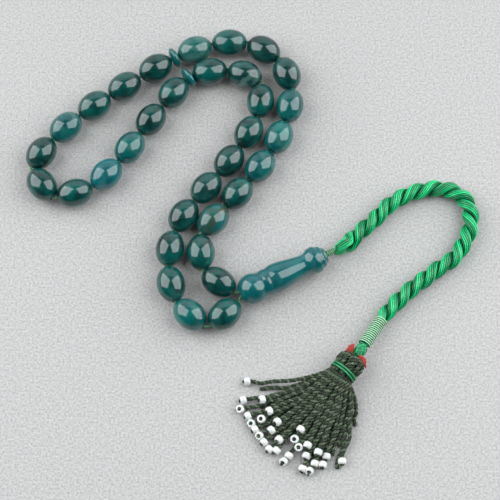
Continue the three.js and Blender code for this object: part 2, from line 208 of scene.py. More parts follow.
def calculate(tree, operation, first, second=0.0):
    node = place(tree, "ShaderNodeMath", {0: first, 1: second}, operation=operation)
    return node.outputs[0]


def vector_sum(tree, operation, first, second):
    node = place(
        tree, "ShaderNodeVectorMath", {0: first, 1: second}, operation=operation
    )
    return node.outputs[0]


def scaled(tree, vector, factor):
    node = place(
        tree, "ShaderNodeVectorMath", {0: vector, "Scale": factor}, operation="SCALE"
    )
    return node.outputs[0]


def ramp(tree, value, stops):
    """A colour ramp with (position, colour) stops."""
    node = place(tree, "ShaderNodeValToRGB", {"Fac": value})
    elements = node.color_ramp.elements
    while len(elements) < len(stops):
        elements.new(1.0)
    for element, (position, rgb) in zip(elements, stops):
        element.position = position
        element.color = (*rgb, 1.0)
    return node.outputs["Color"]


def mix_colours(tree, factor, first, second, blend="MIX"):
    node = place(
        tree, "ShaderNodeMix", {"Factor": factor},
        data_type="RGBA", blend_type=blend,
    )
    for socket, value in zip((node.inputs[6], node.inputs[7]), (first, second)):
        if isinstance(value, bpy.types.NodeSocket):
            tree.links.new(value, socket)
        else:
            socket.default_value = (*value, 1.0)
    return node.outputs[2]


def new_material(name, **uniform):
    """A material with one Principled shader, and its inputs set to plain values."""
    material = bpy.data.materials.new(name)
    material.use_nodes = True
    shader = material.node_tree.nodes["Principled BSDF"]
    for key, value in uniform.items():
        shader.inputs[key.replace("_", " ")].default_value = value
    return material, material.node_tree, shader


def object_noise(tree, scale, detail=2.0, distortion=0.0, offset=(0, 0, 0)):
    coordinates = place(tree, "ShaderNodeTexCoord").outputs["Object"]
    moved = place(
        tree, "ShaderNodeMapping", {"Vector": coordinates, "Location": offset}
    ).outputs[0]
    node = place(
        tree, "ShaderNodeTexNoise",
        {"Vector": moved, "Scale": scale, "Detail": detail, "Distortion": distortion},
    )
    return node.outputs["Fac"]


def bump(tree, shader, height, distance, strength=1.0):
    node = place(
        tree, "ShaderNodeBump",
        {"Height": height, "Distance": distance, "Strength": strength},
    )
    tree.links.new(node.outputs["Normal"], shader.inputs["Normal"])


# ---- Materials ------------------------------------------------------------------------


def agate(name, deep, middle, vein, vein_amount, turn):
    """Polished agate: dark cloudy depth with a few soft veins, under a clear polish."""
    material, tree, shader = new_material(
        name, Roughness=0.3, IOR=1.5, Coat_Weight=1.0, Coat_Roughness=0.02, Coat_IOR=1.55,
        Subsurface_Weight=0.35, Subsurface_Scale=1.5 * MM,
    )
    shader.inputs["Subsurface Radius"].default_value = (0.1, 1.0, 0.8)
    shader.inputs["Specular IOR Level"].default_value = 0.15
    clouds = object_noise(tree, 190, detail=3.0, distortion=0.6, offset=(turn, 0, 0))
    body = ramp(tree, clouds, [(0.36, deep), (0.68, middle)])
    coordinates = place(tree, "ShaderNodeTexCoord").outputs["Object"]
    turned = place(
        tree, "ShaderNodeMapping",
        {"Vector": coordinates, "Rotation": (0.6 + turn, 0.4, turn * 2.3)},
    ).outputs[0]
    bands = place(
        tree, "ShaderNodeTexWave",
        {"Vector": turned, "Scale": 58.0, "Distortion": 5.5, "Detail": 3.0,
         "Detail Scale": 2.2},
    ).outputs["Fac"]
    veins = ramp(tree, bands, [(0.62, (0, 0, 0)), (0.95, (1, 1, 1))])
    patches = ramp(
        tree, object_noise(tree, 95, offset=(0, turn, 0)),
        [(0.45, (0, 0, 0)), (0.7, (1, 1, 1))],
    )
    amount = calculate(tree, "MULTIPLY", veins, patches)
    amount = calculate(tree, "MULTIPLY", amount, vein_amount)
    tree.links.new(mix_colours(tree, amount, body, vein), shader.inputs["Base Color"])
    return material


# Painted shade: the share of the light that is left between two plies, and between two threads.
CREVICE_SHADE = (0.07, 0.07, 0.07)
GROOVE_SHADE = (0.05, 0.05, 0.05)
FULL_LIGHT = (1, 1, 1)


def twisted_yarn(name, base, light, roughness, sheen=0.0, gloss=0.5, strand_share=0.6):
    """Yarn: each strand a slightly different tone, with painted shade that makes it dark and dull
    where it turns inwards.
    """
    material, tree, shader = new_material(
        name, Roughness=roughness, Sheen_Weight=sheen, Sheen_Roughness=0.4,
    )
    strand = place(
        tree, "ShaderNodeAttribute", attribute_name="strand"
    ).outputs["Fac"]
    fibres = object_noise(tree, 2600, detail=2.0)
    tone = calculate(tree, "ADD", calculate(tree, "MULTIPLY", strand, strand_share), fibres)
    depth = place(tree, "ShaderNodeAttribute", attribute_name="depth").outputs["Fac"]
    # Painted shade: colour and polish darken where the surface sinks between plies, and between
    # threads.
    shade = ramp(tree, depth, [(0.4, CREVICE_SHADE), (0.85, FULL_LIGHT)])
    groove = place(tree, "ShaderNodeAttribute", attribute_name="groove").outputs["Fac"]
    groove_shade = ramp(tree, groove, [(0.1, GROOVE_SHADE), (0.8, FULL_LIGHT)])
    dimming = mix_colours(tree, 1.0, shade, groove_shade, "MULTIPLY")
    lit = ramp(tree, tone, [(0.3, base), (0.74, blended(base, light, 0.3)), (1.0, light)])
    tree.links.new(
        mix_colours(tree, 1.0, lit, dimming, "MULTIPLY"), shader.inputs["Base Color"]
    )
    tree.links.new(
        calculate(tree, "MULTIPLY", dimming, gloss), shader.inputs["Specular IOR Level"]
    )
    bump(tree, shader, fibres, 0.05 * MM, 0.6)
    return material


def lighter(rgb, factor):
    return tuple(min(1.0, channel * factor) for channel in rgb)


def blended(first, second, share):
    return tuple(a + (b - a) * share for a, b in zip(first, second))


# ---- Mesh helpers ---------------------------------------------------------------------


def finish_mesh(name, mesh, material):
    """Makes an object of a mesh, smooth and with its normals outwards."""
    build = bmesh.new()
    build.from_mesh(mesh)
    bmesh.ops.recalc_face_normals(build, faces=build.faces)
    build.to_mesh(mesh)
    build.free()
    mesh.shade_smooth()
    mesh.materials.clear()
    mesh.materials.append(material)
    piece = bpy.data.objects.new(name, mesh)
    bpy.context.scene.collection.objects.link(piece)
    return piece


def frame_along(place_at, axis):
    """The matrix that takes X to axis and the origin to a point."""
    turn = Vector((1, 0, 0)).rotation_difference(axis).to_matrix().to_4x4()
    return Matrix.Translation(place_at) @ turn


def turned_mesh(name, profile, sides, matrix):
    """A solid turned about X from a closed loop of (x, radius) points."""
    mesh = bpy.data.meshes.new(name)
    vertices = []
    for side in range(sides):
        angle = 2 * math.pi * side / sides
        for x, radius in profile:
            point = Vector((x, radius * math.cos(angle), radius * math.sin(angle)))
            vertices.append(matrix @ point)
    count = len(profile)
    faces = []
    for side in range(sides):
        after = (side + 1) % sides
        for step in range(count):
            following = (step + 1) % count
            faces.append((
                side * count + step, side * count + following,
                after * count + following, after * count + step,
            ))
    mesh.from_pydata(vertices, [], faces)
    return mesh


def add_piece(piece, body, slot, *nodes):
    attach(piece, body)
    if nodes:
        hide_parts(*nodes)
    return piece


def smooth_route(points, step):
    """Points a step apart on a centripetal Catmull-Rom curve through the given ones."""
    points = [Vector(point) for point in points]
    ends = [points[0] * 2 - points[1], *points, points[-1] * 2 - points[-2]]
    dense = []
    per_span = 24
    for a, b, c, d in zip(ends, ends[1:], ends[2:], ends[3:]):
        t1 = (b - a).length ** 0.5
        t2 = t1 + (c - b).length ** 0.5
        t3 = t2 + (d - c).length ** 0.5
        for index in range(per_span):
            t = t1 + (t2 - t1) * index / per_span
            a1 = a.lerp(b, t / t1)
            a2 = b.lerp(c, (t - t1) / (t2 - t1))
            a3 = c.lerp(d, (t - t2) / (t3 - t2))
            b1 = a1.lerp(a2, t / t2)
            b2 = a2.lerp(a3, (t - t1) / (t3 - t1))
            dense.append(b1.lerp(b2, (t - t1) / (t2 - t1)))
    dense.append(points[-1])
    return evenly(dense, step)


def route_length(points):
    return sum((b - a).length for a, b in zip(points, points[1:]))


def evenly(points, step):
    """The same polyline with its points an even step apart."""
    total = route_length(points)
    count = max(2, round(total / step))
    spacing = total / count
    result = [points[0].copy()]
    walked = 0.0
    for a, b in zip(points, points[1:]):
        span = (b - a).length
        while len(result) < count and walked + span >= spacing * len(result):
            share = (spacing * len(result) - walked) / span if span else 0.0
            result.append(a.lerp(b, share))
        walked += span
    result.append(points[-1].copy())
    return result


# ---- Geometry Nodes: strands twisted round paths --------------------------------------


GOLDEN_SHARE = 0.618  # steps that give neighbouring strands tones far apart
FOLD_ROUNDING = 1.6  # the threads part this much sooner than the plies where both are folded
NARROWEST = 0.5  # of the full width, where the strands draw in at the end
EYE_LIGHT = 3.0  # how far light falls into the open eye, as a multiple of its spread


def strand_tree():
    """Strands that run round each other along every path of a curve.

    Plies lie round the path, and threads lie round the middle of each ply."""
    tree = bpy.data.node_groups.new("Twisted Strands", "GeometryNodeTree")
    sockets = [
        ("Path", "NodeSocketGeometry"), ("Step", "NodeSocketFloat"),
        ("Plies", "NodeSocketInt"), ("Threads", "NodeSocketInt"),
        ("Ply Offset", "NodeSocketFloat"), ("Thread Offset", "NodeSocketFloat"),
        ("Thread Radius", "NodeSocketFloat"), ("Ply Pitch", "NodeSocketFloat"),
        ("Phase", "NodeSocketFloat"), ("Untwisted", "NodeSocketFloat"),
        ("Thread Pitch", "NodeSocketFloat"), ("Sides", "NodeSocketInt"),
        ("Closed Start", "NodeSocketFloat"), ("Eye Spread", "NodeSocketFloat"),
        ("Narrow End", "NodeSocketFloat"), ("Narrow Hold", "NodeSocketFloat"),
        ("Shade Depth", "NodeSocketFloat"),
        ("Material", "NodeSocketMaterial"),
    ]
    for name, kind in sockets:
        tree.interface.new_socket(name=name, in_out="INPUT", socket_type=kind)
    tree.interface.new_socket(
        name="Strands", in_out="OUTPUT", socket_type="NodeSocketGeometry"
    )
    given = place(tree, "NodeGroupInput").outputs
    even = place(
        tree, "GeometryNodeResampleCurve",
        {"Curve": given["Path"], "Length": given["Step"]}, mode="LENGTH",
    ).outputs[0]
    position = place(tree, "GeometryNodeInputPosition").outputs[0]
    path = place(
        tree, "GeometryNodeStoreNamedAttribute",
        {"Geometry": even, "Name": "spine", "Value": position},
        data_type="FLOAT_VECTOR", domain="POINT",
    ).outputs[0]
    amount = calculate(tree, "MULTIPLY", given["Plies"], given["Threads"])
    copies = place(
        tree, "GeometryNodeDuplicateElements", {"Geometry": path, "Amount": amount},
        domain="SPLINE",
    )
    index = copies.outputs["Duplicate Index"]
    ply = calculate(tree, "MODULO", index, given["Plies"])
    thread = calculate(
        tree, "FLOOR", calculate(tree, "DIVIDE", index, given["Plies"])
    )
    walked = place(tree, "GeometryNodeSplineParameter").outputs["Length"]
    whole = place(tree, "GeometryNodeSplineLength").outputs["Length"]

    twisting = calculate(tree, "SUBTRACT", walked, given["Untwisted"])
    twisting = calculate(tree, "MAXIMUM", twisting, 0.0)

    def angle(pitch, number, count):
        turns = calculate(tree, "DIVIDE", twisting, pitch)
        share = calculate(tree, "DIVIDE", number, count)
        both = calculate(tree, "ADD", turns, share)
        both = calculate(tree, "ADD", both, given["Phase"])
        return calculate(tree, "MULTIPLY", both, 2 * math.pi)

    normal = place(tree, "GeometryNodeInputNormal").outputs[0]
    tangent = place(tree, "GeometryNodeInputTangent").outputs[0]
    across = vector_sum(tree, "CROSS_PRODUCT", tangent, normal)

    def round_path(turn, radius):
        first = scaled(tree, normal, calculate(tree, "COSINE", turn))
        second = scaled(tree, across, calculate(tree, "SINE", turn))
        return scaled(tree, vector_sum(tree, "ADD", first, second), radius)

    # The plies come from a fold at the start, spread round an eye, and draw in at the end.
    into = calculate(tree, "DIVIDE", walked, given["Closed Start"])
    away = calculate(tree, "SUBTRACT", 1.0, calculate(tree, "MINIMUM", into, 1.0))
    opened = calculate(
        tree, "SQRT",
        calculate(tree, "SUBTRACT", 1.0, calculate(tree, "MULTIPLY", away, away)),
    )
    past = calculate(tree, "SUBTRACT", into, 1.0)
    eye = calculate(tree, "MAXIMUM", calculate(
        tree, "SUBTRACT", 1.0, calculate(tree, "MULTIPLY", past, past)
    ), 0.0)
    spread = calculate(tree, "MULTIPLY", eye, given["Eye Spread"])
    left = calculate(tree, "SUBTRACT", whole, walked)
    left = calculate(tree, "MAXIMUM", calculate(tree, "SUBTRACT", left, given["Narrow Hold"]), 0.0)
    narrowing = calculate(
        tree, "MINIMUM", calculate(tree, "DIVIDE", left, given["Narrow End"]), 1.0
    )
    narrowing = calculate(
        tree, "ADD", calculate(tree, "MULTIPLY", narrowing, 1 - NARROWEST), NARROWEST
    )
    ply_offset = calculate(tree, "MULTIPLY", given["Ply Offset"], opened)
    ply_offset = calculate(tree, "MULTIPLY", ply_offset, narrowing)
    ply_offset = calculate(tree, "ADD", ply_offset, spread)
    tip = calculate(tree, "MINIMUM", calculate(tree, "MULTIPLY", into, FOLD_ROUNDING), 1.0)
    tip = calculate(tree, "SUBTRACT", 1.0, tip)
    rounded = calculate(
        tree, "SQRT", calculate(tree, "SUBTRACT", 1.0, calculate(tree, "MULTIPLY", tip, tip))
    )
    thread_offset = calculate(tree, "MULTIPLY", given["Thread Offset"], narrowing)
    thread_offset = calculate(tree, "MULTIPLY", thread_offset, rounded)
    to_ply = round_path(angle(given["Ply Pitch"], ply, given["Plies"]), ply_offset)
    to_thread = round_path(
        angle(given["Thread Pitch"], thread, given["Threads"]), thread_offset
    )
    plied = place(
        tree, "GeometryNodeSetPosition",
        {"Geometry": copies.outputs["Geometry"], "Offset": to_ply},
    ).outputs[0]
    # What each point needs later, to tell how deep in a groove the surface round it is.
    ply_reach = calculate(tree, "ADD", thread_offset, given["Thread Radius"])
    path_reach = calculate(tree, "ADD", ply_offset, ply_reach)
    lit_inside = calculate(tree, "MULTIPLY", spread, EYE_LIGHT)
    path_reach = calculate(tree, "SUBTRACT", path_reach, lit_inside)
    remembered = plied
    for attribute, value, kind in (
        ("ply_spine", position, "FLOAT_VECTOR"),
        ("ply_reach", ply_reach, "FLOAT"),
        ("path_reach", path_reach, "FLOAT"),
    ):
        remembered = place(
            tree, "GeometryNodeStoreNamedAttribute",
            {"Geometry": remembered, "Name": attribute, "Value": value},
            data_type=kind, domain="POINT",
        ).outputs[0]
    moved = place(
        tree, "GeometryNodeSetPosition", {"Geometry": remembered, "Offset": to_thread}
    ).outputs[0]
    toned = place(
        tree, "GeometryNodeStoreNamedAttribute",
        {"Geometry": moved, "Name": "strand",
         "Value": calculate(
             tree, "FRACT", calculate(tree, "MULTIPLY", index, GOLDEN_SHARE)
         )},
        data_type="FLOAT", domain="POINT",
    ).outputs[0]
    profile = place(
        tree, "GeometryNodeCurvePrimitiveCircle",
        {"Resolution": given["Sides"], "Radius": given["Thread Radius"]},
    ).outputs[0]
    mesh = place(
        tree, "GeometryNodeCurveToMesh",
        {"Curve": toned, "Profile Curve": profile, "Fill Caps": True},
    ).outputs[0]

    def named(attribute, kind="FLOAT"):
        return place(
            tree, "GeometryNodeInputNamedAttribute", {"Name": attribute}, data_type=kind
        ).outputs[0]

    def share_below(centre, reach, depth):
        """One at the given reach from the centre, and zero a depth below it."""
        away = place(
            tree, "ShaderNodeVectorMath",
            {0: position, 1: named(centre, "FLOAT_VECTOR")}, operation="DISTANCE",
        ).outputs["Value"]
        below = calculate(tree, "SUBTRACT", named(reach), away)
        return calculate(
            tree, "SUBTRACT", 1.0, calculate(tree, "DIVIDE", below, depth)
        )

    deepened = mesh
    for attribute, value in (
        ("depth", share_below("spine", "path_reach", given["Shade Depth"])),
        ("groove", share_below("ply_spine", "ply_reach", given["Thread Radius"])),
    ):
        deepened = place(
            tree, "GeometryNodeStoreNamedAttribute",
            {"Geometry": deepened, "Name": attribute, "Value": value},
            data_type="FLOAT", domain="POINT",
        ).outputs[0]
    realized = place(
        tree, "GeometryNodeRealizeInstances", {"Geometry": deepened}
    ).outputs[0]
    coloured = place(
        tree, "GeometryNodeSetMaterial",
        {"Geometry": realized, "Material": given["Material"]},
    ).outputs[0]
    place(tree, "NodeGroupOutput", {"Strands": coloured})
    return tree


def run_nodes(name, data, tree, values, material):
    """Puts a node tree on an object, and returns its result as a plain mesh piece."""
    source = bpy.data.objects.new(name + "_path", data)
    bpy.context.scene.collection.objects.link(source)
    modifier = source.modifiers.new(tree.name, "NODES")
    modifier.node_group = tree
    for item in tree.interface.items_tree:
        if item.in_out == "INPUT" and item.name in values:
            modifier[item.identifier] = values[item.name]
    evaluated = source.evaluated_get(bpy.context.evaluated_depsgraph_get())
    mesh = bpy.data.meshes.new_from_object(evaluated)
    mesh.name = name
    source.modifiers.remove(modifier)
    bpy.data.objects.remove(source)
    bpy.data.curves.remove(data)
    if not mesh.vertices:
        raise RuntimeError(f"{name}: the node tree made nothing")
    return finish_mesh(name, mesh, material)


def curve_of(name, routes):
    """A curve with one straight-jointed spline for each route."""
    curve = bpy.data.curves.new(name, "CURVE")
    curve.dimensions = "3D"
    for route in routes:
        spline = curve.splines.new("POLY")
        spline.points.add(len(route) - 1)
        for point, spot in zip(spline.points, route):
            point.co = (*spot, 1.0)
    return curve


# Shares of a yarn's diameter: the radius of each ply of several, and how deep its shade goes.
PLY_RADIUS_SHARE = 0.29
SHADE_SHARE = 0.36
WIRE_SHADE_SHARE = 0.5
NO_FOLD = 0.01 * MM  # the length of a fold or a narrow end that isn't there


def twisted(name, routes, material, plies, threads, diameter, ply_pitch, step,
            thread_share=0.5, sides=6, closed_start=NO_FOLD, thread_pitch=None,
            eye_spread=0.0, narrow_end=NO_FOLD, narrow_hold=0.0, untwisted=0.0, phase=0.0):
    """Yarn or rope of the given diameter along the routes.

    thread_share is the share of a ply's radius at which its threads lie."""
    ply_radius = diameter * PLY_RADIUS_SHARE if plies > 1 else diameter / 2
    ply_offset = diameter / 2 - ply_radius
    thread_offset = ply_radius * thread_share if threads > 1 else 0.0
    return run_nodes(
        name, curve_of(name, routes), STRANDS,
        {
            "Step": step, "Plies": plies, "Threads": threads,
            "Ply Offset": ply_offset, "Thread Offset": thread_offset,
            "Thread Radius": ply_radius - thread_offset, "Ply Pitch": ply_pitch,
            "Thread Pitch": thread_pitch or ply_pitch, "Sides": sides,
            "Closed Start": closed_start, "Eye Spread": eye_spread,
            "Narrow End": narrow_end, "Narrow Hold": narrow_hold,
            "Shade Depth": diameter * SHADE_SHARE,
            "Untwisted": untwisted, "Phase": phase,
            "Material": material,
        },
        material,
    )


def coil(name, start, end, outer, wire, material, gap=1.05, step_angle=15, sides=8):
    """Wire wound round the line from start to end, with a turn every gap wires."""
    pitch = wire * gap
    turns = (end - start).length / pitch
    step = pitch * step_angle / 360
    count = max(2, round(turns * 360 / step_angle))
    route = [start.lerp(end, index / count) for index in range(count + 1)]
    return run_nodes(
        name, curve_of(name, [route]), STRANDS,
        {
            "Step": step, "Plies": 1, "Threads": 1, "Ply Offset": outer / 2 - wire / 2,
            "Thread Offset": 0.0, "Thread Radius": wire / 2, "Ply Pitch": pitch,
            "Thread Pitch": pitch, "Sides": sides, "Closed Start": NO_FOLD,
            "Eye Spread": 0.0, "Narrow End": NO_FOLD, "Narrow Hold": 0.0,
            "Shade Depth": wire * WIRE_SHADE_SHARE,
            "Untwisted": 0.0, "Phase": 0.0,
            "Material": material,
        },
        material,
    )


STRANDS = strand_tree()


# ---- Stone pieces ---------------------------------------------------------------------


def oval_profile(bead_length, diameter, bore, bands=24):
    """A closed (x, radius) loop: an ellipse cut where the bore opens, and the bore."""
    half_axis = bead_length / 2 / math.sqrt(1 - (bore / diameter) ** 2)
    reach = math.asin(bead_length / 2 / half_axis)
    loop = []
    for band in range(bands + 1):
        angle = reach * (2 * band / bands - 1)
        loop.append((half_axis * math.sin(angle), diameter / 2 * math.cos(angle)))
    inner = bore / 2 * 0.9
    lip = bore * 0.08
    return [*loop, (loop[-1][0] - lip, inner), (loop[0][0] + lip, inner)]


BEAD_SIDES = 40
IMAM_SIDES = 64
IMAM_BORE_RADIUS = 1.4 * MM

# Beads whose stone differs from the usual deep green.
STONE_OF = {
    "bead_b08": "blue", "bead_b09": "teal", "bead_b04": "teal", "bead_a05": "teal",
    "bead_a06": "teal", "bead_a07": "teal", "bead_c10": "teal", "bead_a01": "grey",
    "bead_a09": "moss", "bead_c02": "milky", "bead_b05": "dark", "bead_b10": "dark",
    "bead_c05": "dark", "bead_c06": "dark", "bead_c07": "dark", "bead_b01": "dark",
    "bead_b02": "dark", "bead_a03": "dark", "bead_a11": "dark",
}


def stones(colours):
    """The kinds of agate on the string, by name."""
    deep, teal, pale = tuple(colours.deep), tuple(colours.teal), tuple(colours.pale)
    blue, moss = tuple(colours.blue), tuple(colours.moss)
    return {
        "green": agate("Agate_green", deep, teal, pale, 0.25, 0.3),
        "dark": agate("Agate_dark", lighter(deep, 0.7), lighter(teal, 0.72), pale, 0.1, 0.9),
        "teal": agate("Agate_teal", blended(deep, blue, 0.3), lighter(teal, 1.5), pale, 0.4, 1.7),
        "blue": agate("Agate_blue", blended(deep, blue, 0.5), blue, pale, 0.4, 2.6),
        "grey": agate("Agate_grey", teal, blended(teal, pale, 0.5), pale, 0.5, 3.3),
        "milky": agate("Agate_milky", deep, blended(deep, teal, 0.6), lighter(pale, 1.3), 1.0, 7.7),
        "moss": agate(
            "Agate_moss", blended(teal, moss, 0.3), blended(teal, blue, 0.6), moss, 0.8, 4.1
        ),
    }


class MISBAHA_OT_beads(bpy.types.Operator):
    """Add the oval stone beads on the thread"""

    bl_idname = "misbaha.beads"
    bl_label = "Oval Beads"

    def execute(self, context):
        sizes = context.scene.misbaha_stone
        kinds = stones(sizes)
        profile = oval_profile(BEAD_LENGTH, sizes.bead_diameter, sizes.bead_bore)
        for node in BEADS_A + BEADS_B + BEADS_C:
            spot, axis = joint_place(node + "_spin")
            name = node + "_stone"
            mesh = turned_mesh(name, profile, BEAD_SIDES, frame_along(spot, axis))
            piece = finish_mesh(name, mesh, kinds[STONE_OF.get(node, "green")])
            add_piece(piece, node, "stone", node)
        return {"FINISHED"}


class MISBAHA_OT_discs(bpy.types.Operator):
    """Add the two discs that part the beads"""

    bl_idname = "misbaha.discs"
    bl_label = "Separator Discs"

    def execute(self, context):
        sizes = context.scene.misbaha_stone
        radius, half = sizes.disc_diameter / 2, DISC_THICKNESS / 2
        rim = 0.5 * MM
        face = [
            (half, sizes.bead_bore / 2), (half, radius * 0.45), (half * 0.86, radius * 0.7),
            (rim * 1.25, radius * 0.9), (rim * 0.8, radius * 0.985), (0, radius),
        ]
        profile = face + [(-x, r) for x, r in reversed(face[:-1])]
        stone = agate(
            "Agate_disc", tuple(sizes.teal), tuple(sizes.blue), tuple(sizes.pale), 0.3, 5.2
        )
        for node in DISCS:
            spot, axis = joint_place(node + "_spin")
            name = node + "_stone"
            mesh = turned_mesh(name, profile, BEAD_SIDES, frame_along(spot, axis))
            add_piece(finish_mesh(name, mesh, stone), node, "stone", node)
        return {"FINISHED"}


def imam_profile(bulb, bore):
    """Round foot, waist, barrel, neck, flange and end ring, as a closed loop."""
    mouth = bore + 0.5 * MM
    foot_reach = math.sqrt(bulb**2 - mouth**2)
    first, last = -math.acos(mouth / bulb), math.radians(31)
    bands = 14
    foot = []
    for band in range(bands + 1):
        angle = first + (last - first) * band / bands
        foot.append((foot_reach + bulb * math.sin(angle), bulb * math.cos(angle)))
    # Shares of the length and of the foot's radius.
    shares = [
        (0.258, 0.835), (0.27, 0.845), (0.285, 0.87), (0.302, 0.885), (0.322, 0.882),
        (0.336, 0.866), (0.346, 0.862), (0.36, 0.88), (0.385, 0.925), (0.415, 0.947),
        (0.45, 0.945), (0.5, 0.91), (0.56, 0.85), (0.62, 0.775), (0.68, 0.71),
        (0.73, 0.67), (0.765, 0.665), (0.785, 0.7), (0.81, 0.79), (0.835, 0.86),
        (0.86, 0.885), (0.885, 0.88), (0.902, 0.85), (0.914, 0.79), (0.924, 0.755),
        (0.935, 0.745), (0.948, 0.73), (0.958, 0.69), (0.966, 0.61), (0.974, 0.555),
        (0.985, 0.53), (0.994, 0.5), (1, 0.45),
    ]
    body = [(share * IMAM_LENGTH, radius * bulb) for share, radius in shares]
    return [*foot, *body, (IMAM_LENGTH, bore), (foot[0][0], bore)]


class MISBAHA_OT_imam(bpy.types.Operator):
    """Add the imam, the long turned leader bead"""

    bl_idname = "misbaha.imam"
    bl_label = "Imam"

    def execute(self, context):
        sizes = context.scene.misbaha_stone
        stone = agate(
            "Agate_imam", blended(tuple(sizes.deep), tuple(sizes.blue), 0.45),
            blended(tuple(sizes.teal), tuple(sizes.blue), 0.45), tuple(sizes.pale), 0.2, 6.4,
        )
        profile = imam_profile(sizes.imam_bulb / 2, IMAM_BORE_RADIUS)
        matrix = frame_along(IMAM_FOOT, IMAM_AXIS)
        mesh = turned_mesh("imam_stone", profile, IMAM_SIDES, matrix)
        add_piece(finish_mesh("imam_stone", mesh, stone), "imam", "imam_stone", "imam")
        return {"FINISHED"}


# ---- Thread, silk cord and what is wound on it -----------------------------------------

THREAD_SIDE = 0.6 * MM  # from the imam's axis to each of its two runs of thread
WINDING = 0.46 * MM  # the thin thread of the windings
WRAP_DIAMETER = 2.2 * MM
WRAP_GAP = 1.3  # a turn every so many thicknesses of the winding
WHIPPING_GAP = 1.5


def mouths(node):
    """The two ends of a piece's bore, in the order of the string."""
    spot, axis = joint_place(node + "_spin")
    half = (DISC_THICKNESS if node in DISCS else BEAD_LENGTH) / 2
    return [spot - axis * half, spot + axis * half]


def thread_routes():
    """The three runs of the bead thread, which meet at the two folds of the left loop."""
    deep = IMAM_LENGTH - WRAP_IN_BORE
    side = UP.cross(IMAM_AXIS)
    run_out = [IMAM_FOOT + IMAM_AXIS * deep + side * THREAD_SIDE, IMAM_FOOT + side * THREAD_SIDE]
    run_back = [point - side * 2 * THREAD_SIDE for point in reversed(run_out)]
    fold_1 = STRING.index("bead_b02")
    fold_2 = STRING.index("bead_b11")

    def through(nodes):
        return [point for node in nodes for point in mouths(node)]

    first, second, third = (
        through(STRING[:fold_1]), through(STRING[fold_1:fold_2]), through(STRING[fold_2:])
    )
    turn_1 = (first[-1] + second[0]) / 2
    turn_2 = (second[-1] + third[0]) / 2
    return {
        "thread_outer": ("string", [*run_out, *first, turn_1]),
        "thread_loop": ("left_loop", [turn_1, *second, turn_2]),
        "thread_inner": ("string", [turn_2, *third, *run_back]),
    }


class MISBAHA_OT_threads(bpy.types.Operator):
    """Add the thread that carries the beads"""

    bl_idname = "misbaha.threads"
    bl_label = "Bead Thread"

    def execute(self, context):
        yarn = context.scene.misbaha_yarn
        diameter = yarn.thread_diameter
        mint = tuple(yarn.mint)
        material = twisted_yarn("Thread_green", lighter(mint, 0.5), mint, 0.6, 0.2)
        for node, (body, points) in thread_routes().items():
            route = evenly(points, diameter)
            piece = twisted(
                node + "_yarn", [route], material, plies=3, threads=1,
                diameter=diameter, ply_pitch=diameter * 3, step=diameter / 3,
            )
            add_piece(piece, body, "thread", node)
        return {"FINISHED"}


class MISBAHA_OT_thread_ends(bpy.types.Operator):
    """Add the whipped thread ends at the imam's tip"""

    bl_idname = "misbaha.thread_ends"
    bl_label = "Thread Ends"

    def execute(self, context):
        mint = tuple(context.scene.misbaha_yarn.mint)
        material = twisted_yarn("Thread_whipped", mint, lighter(mint, 1.3), 0.5, 0.2)
        start = IMAM_FOOT + IMAM_AXIS * (IMAM_LENGTH - WRAP_IN_BORE)
        piece = coil(
            "thread_wrap_yarn", start, EYE - IMAM_AXIS * 0.1 * MM, WRAP_DIAMETER, WINDING,
            material, WRAP_GAP,
        )
        add_piece(piece, "string", "thread", "thread_wrap")
        return {"FINISHED"}


def from_eye(step):
    """A point given as a step in millimetres from the eye, with its height."""
    return Vector((EYE.x + step[0] * MM, EYE.y + step[1] * MM, step[2] * MM))


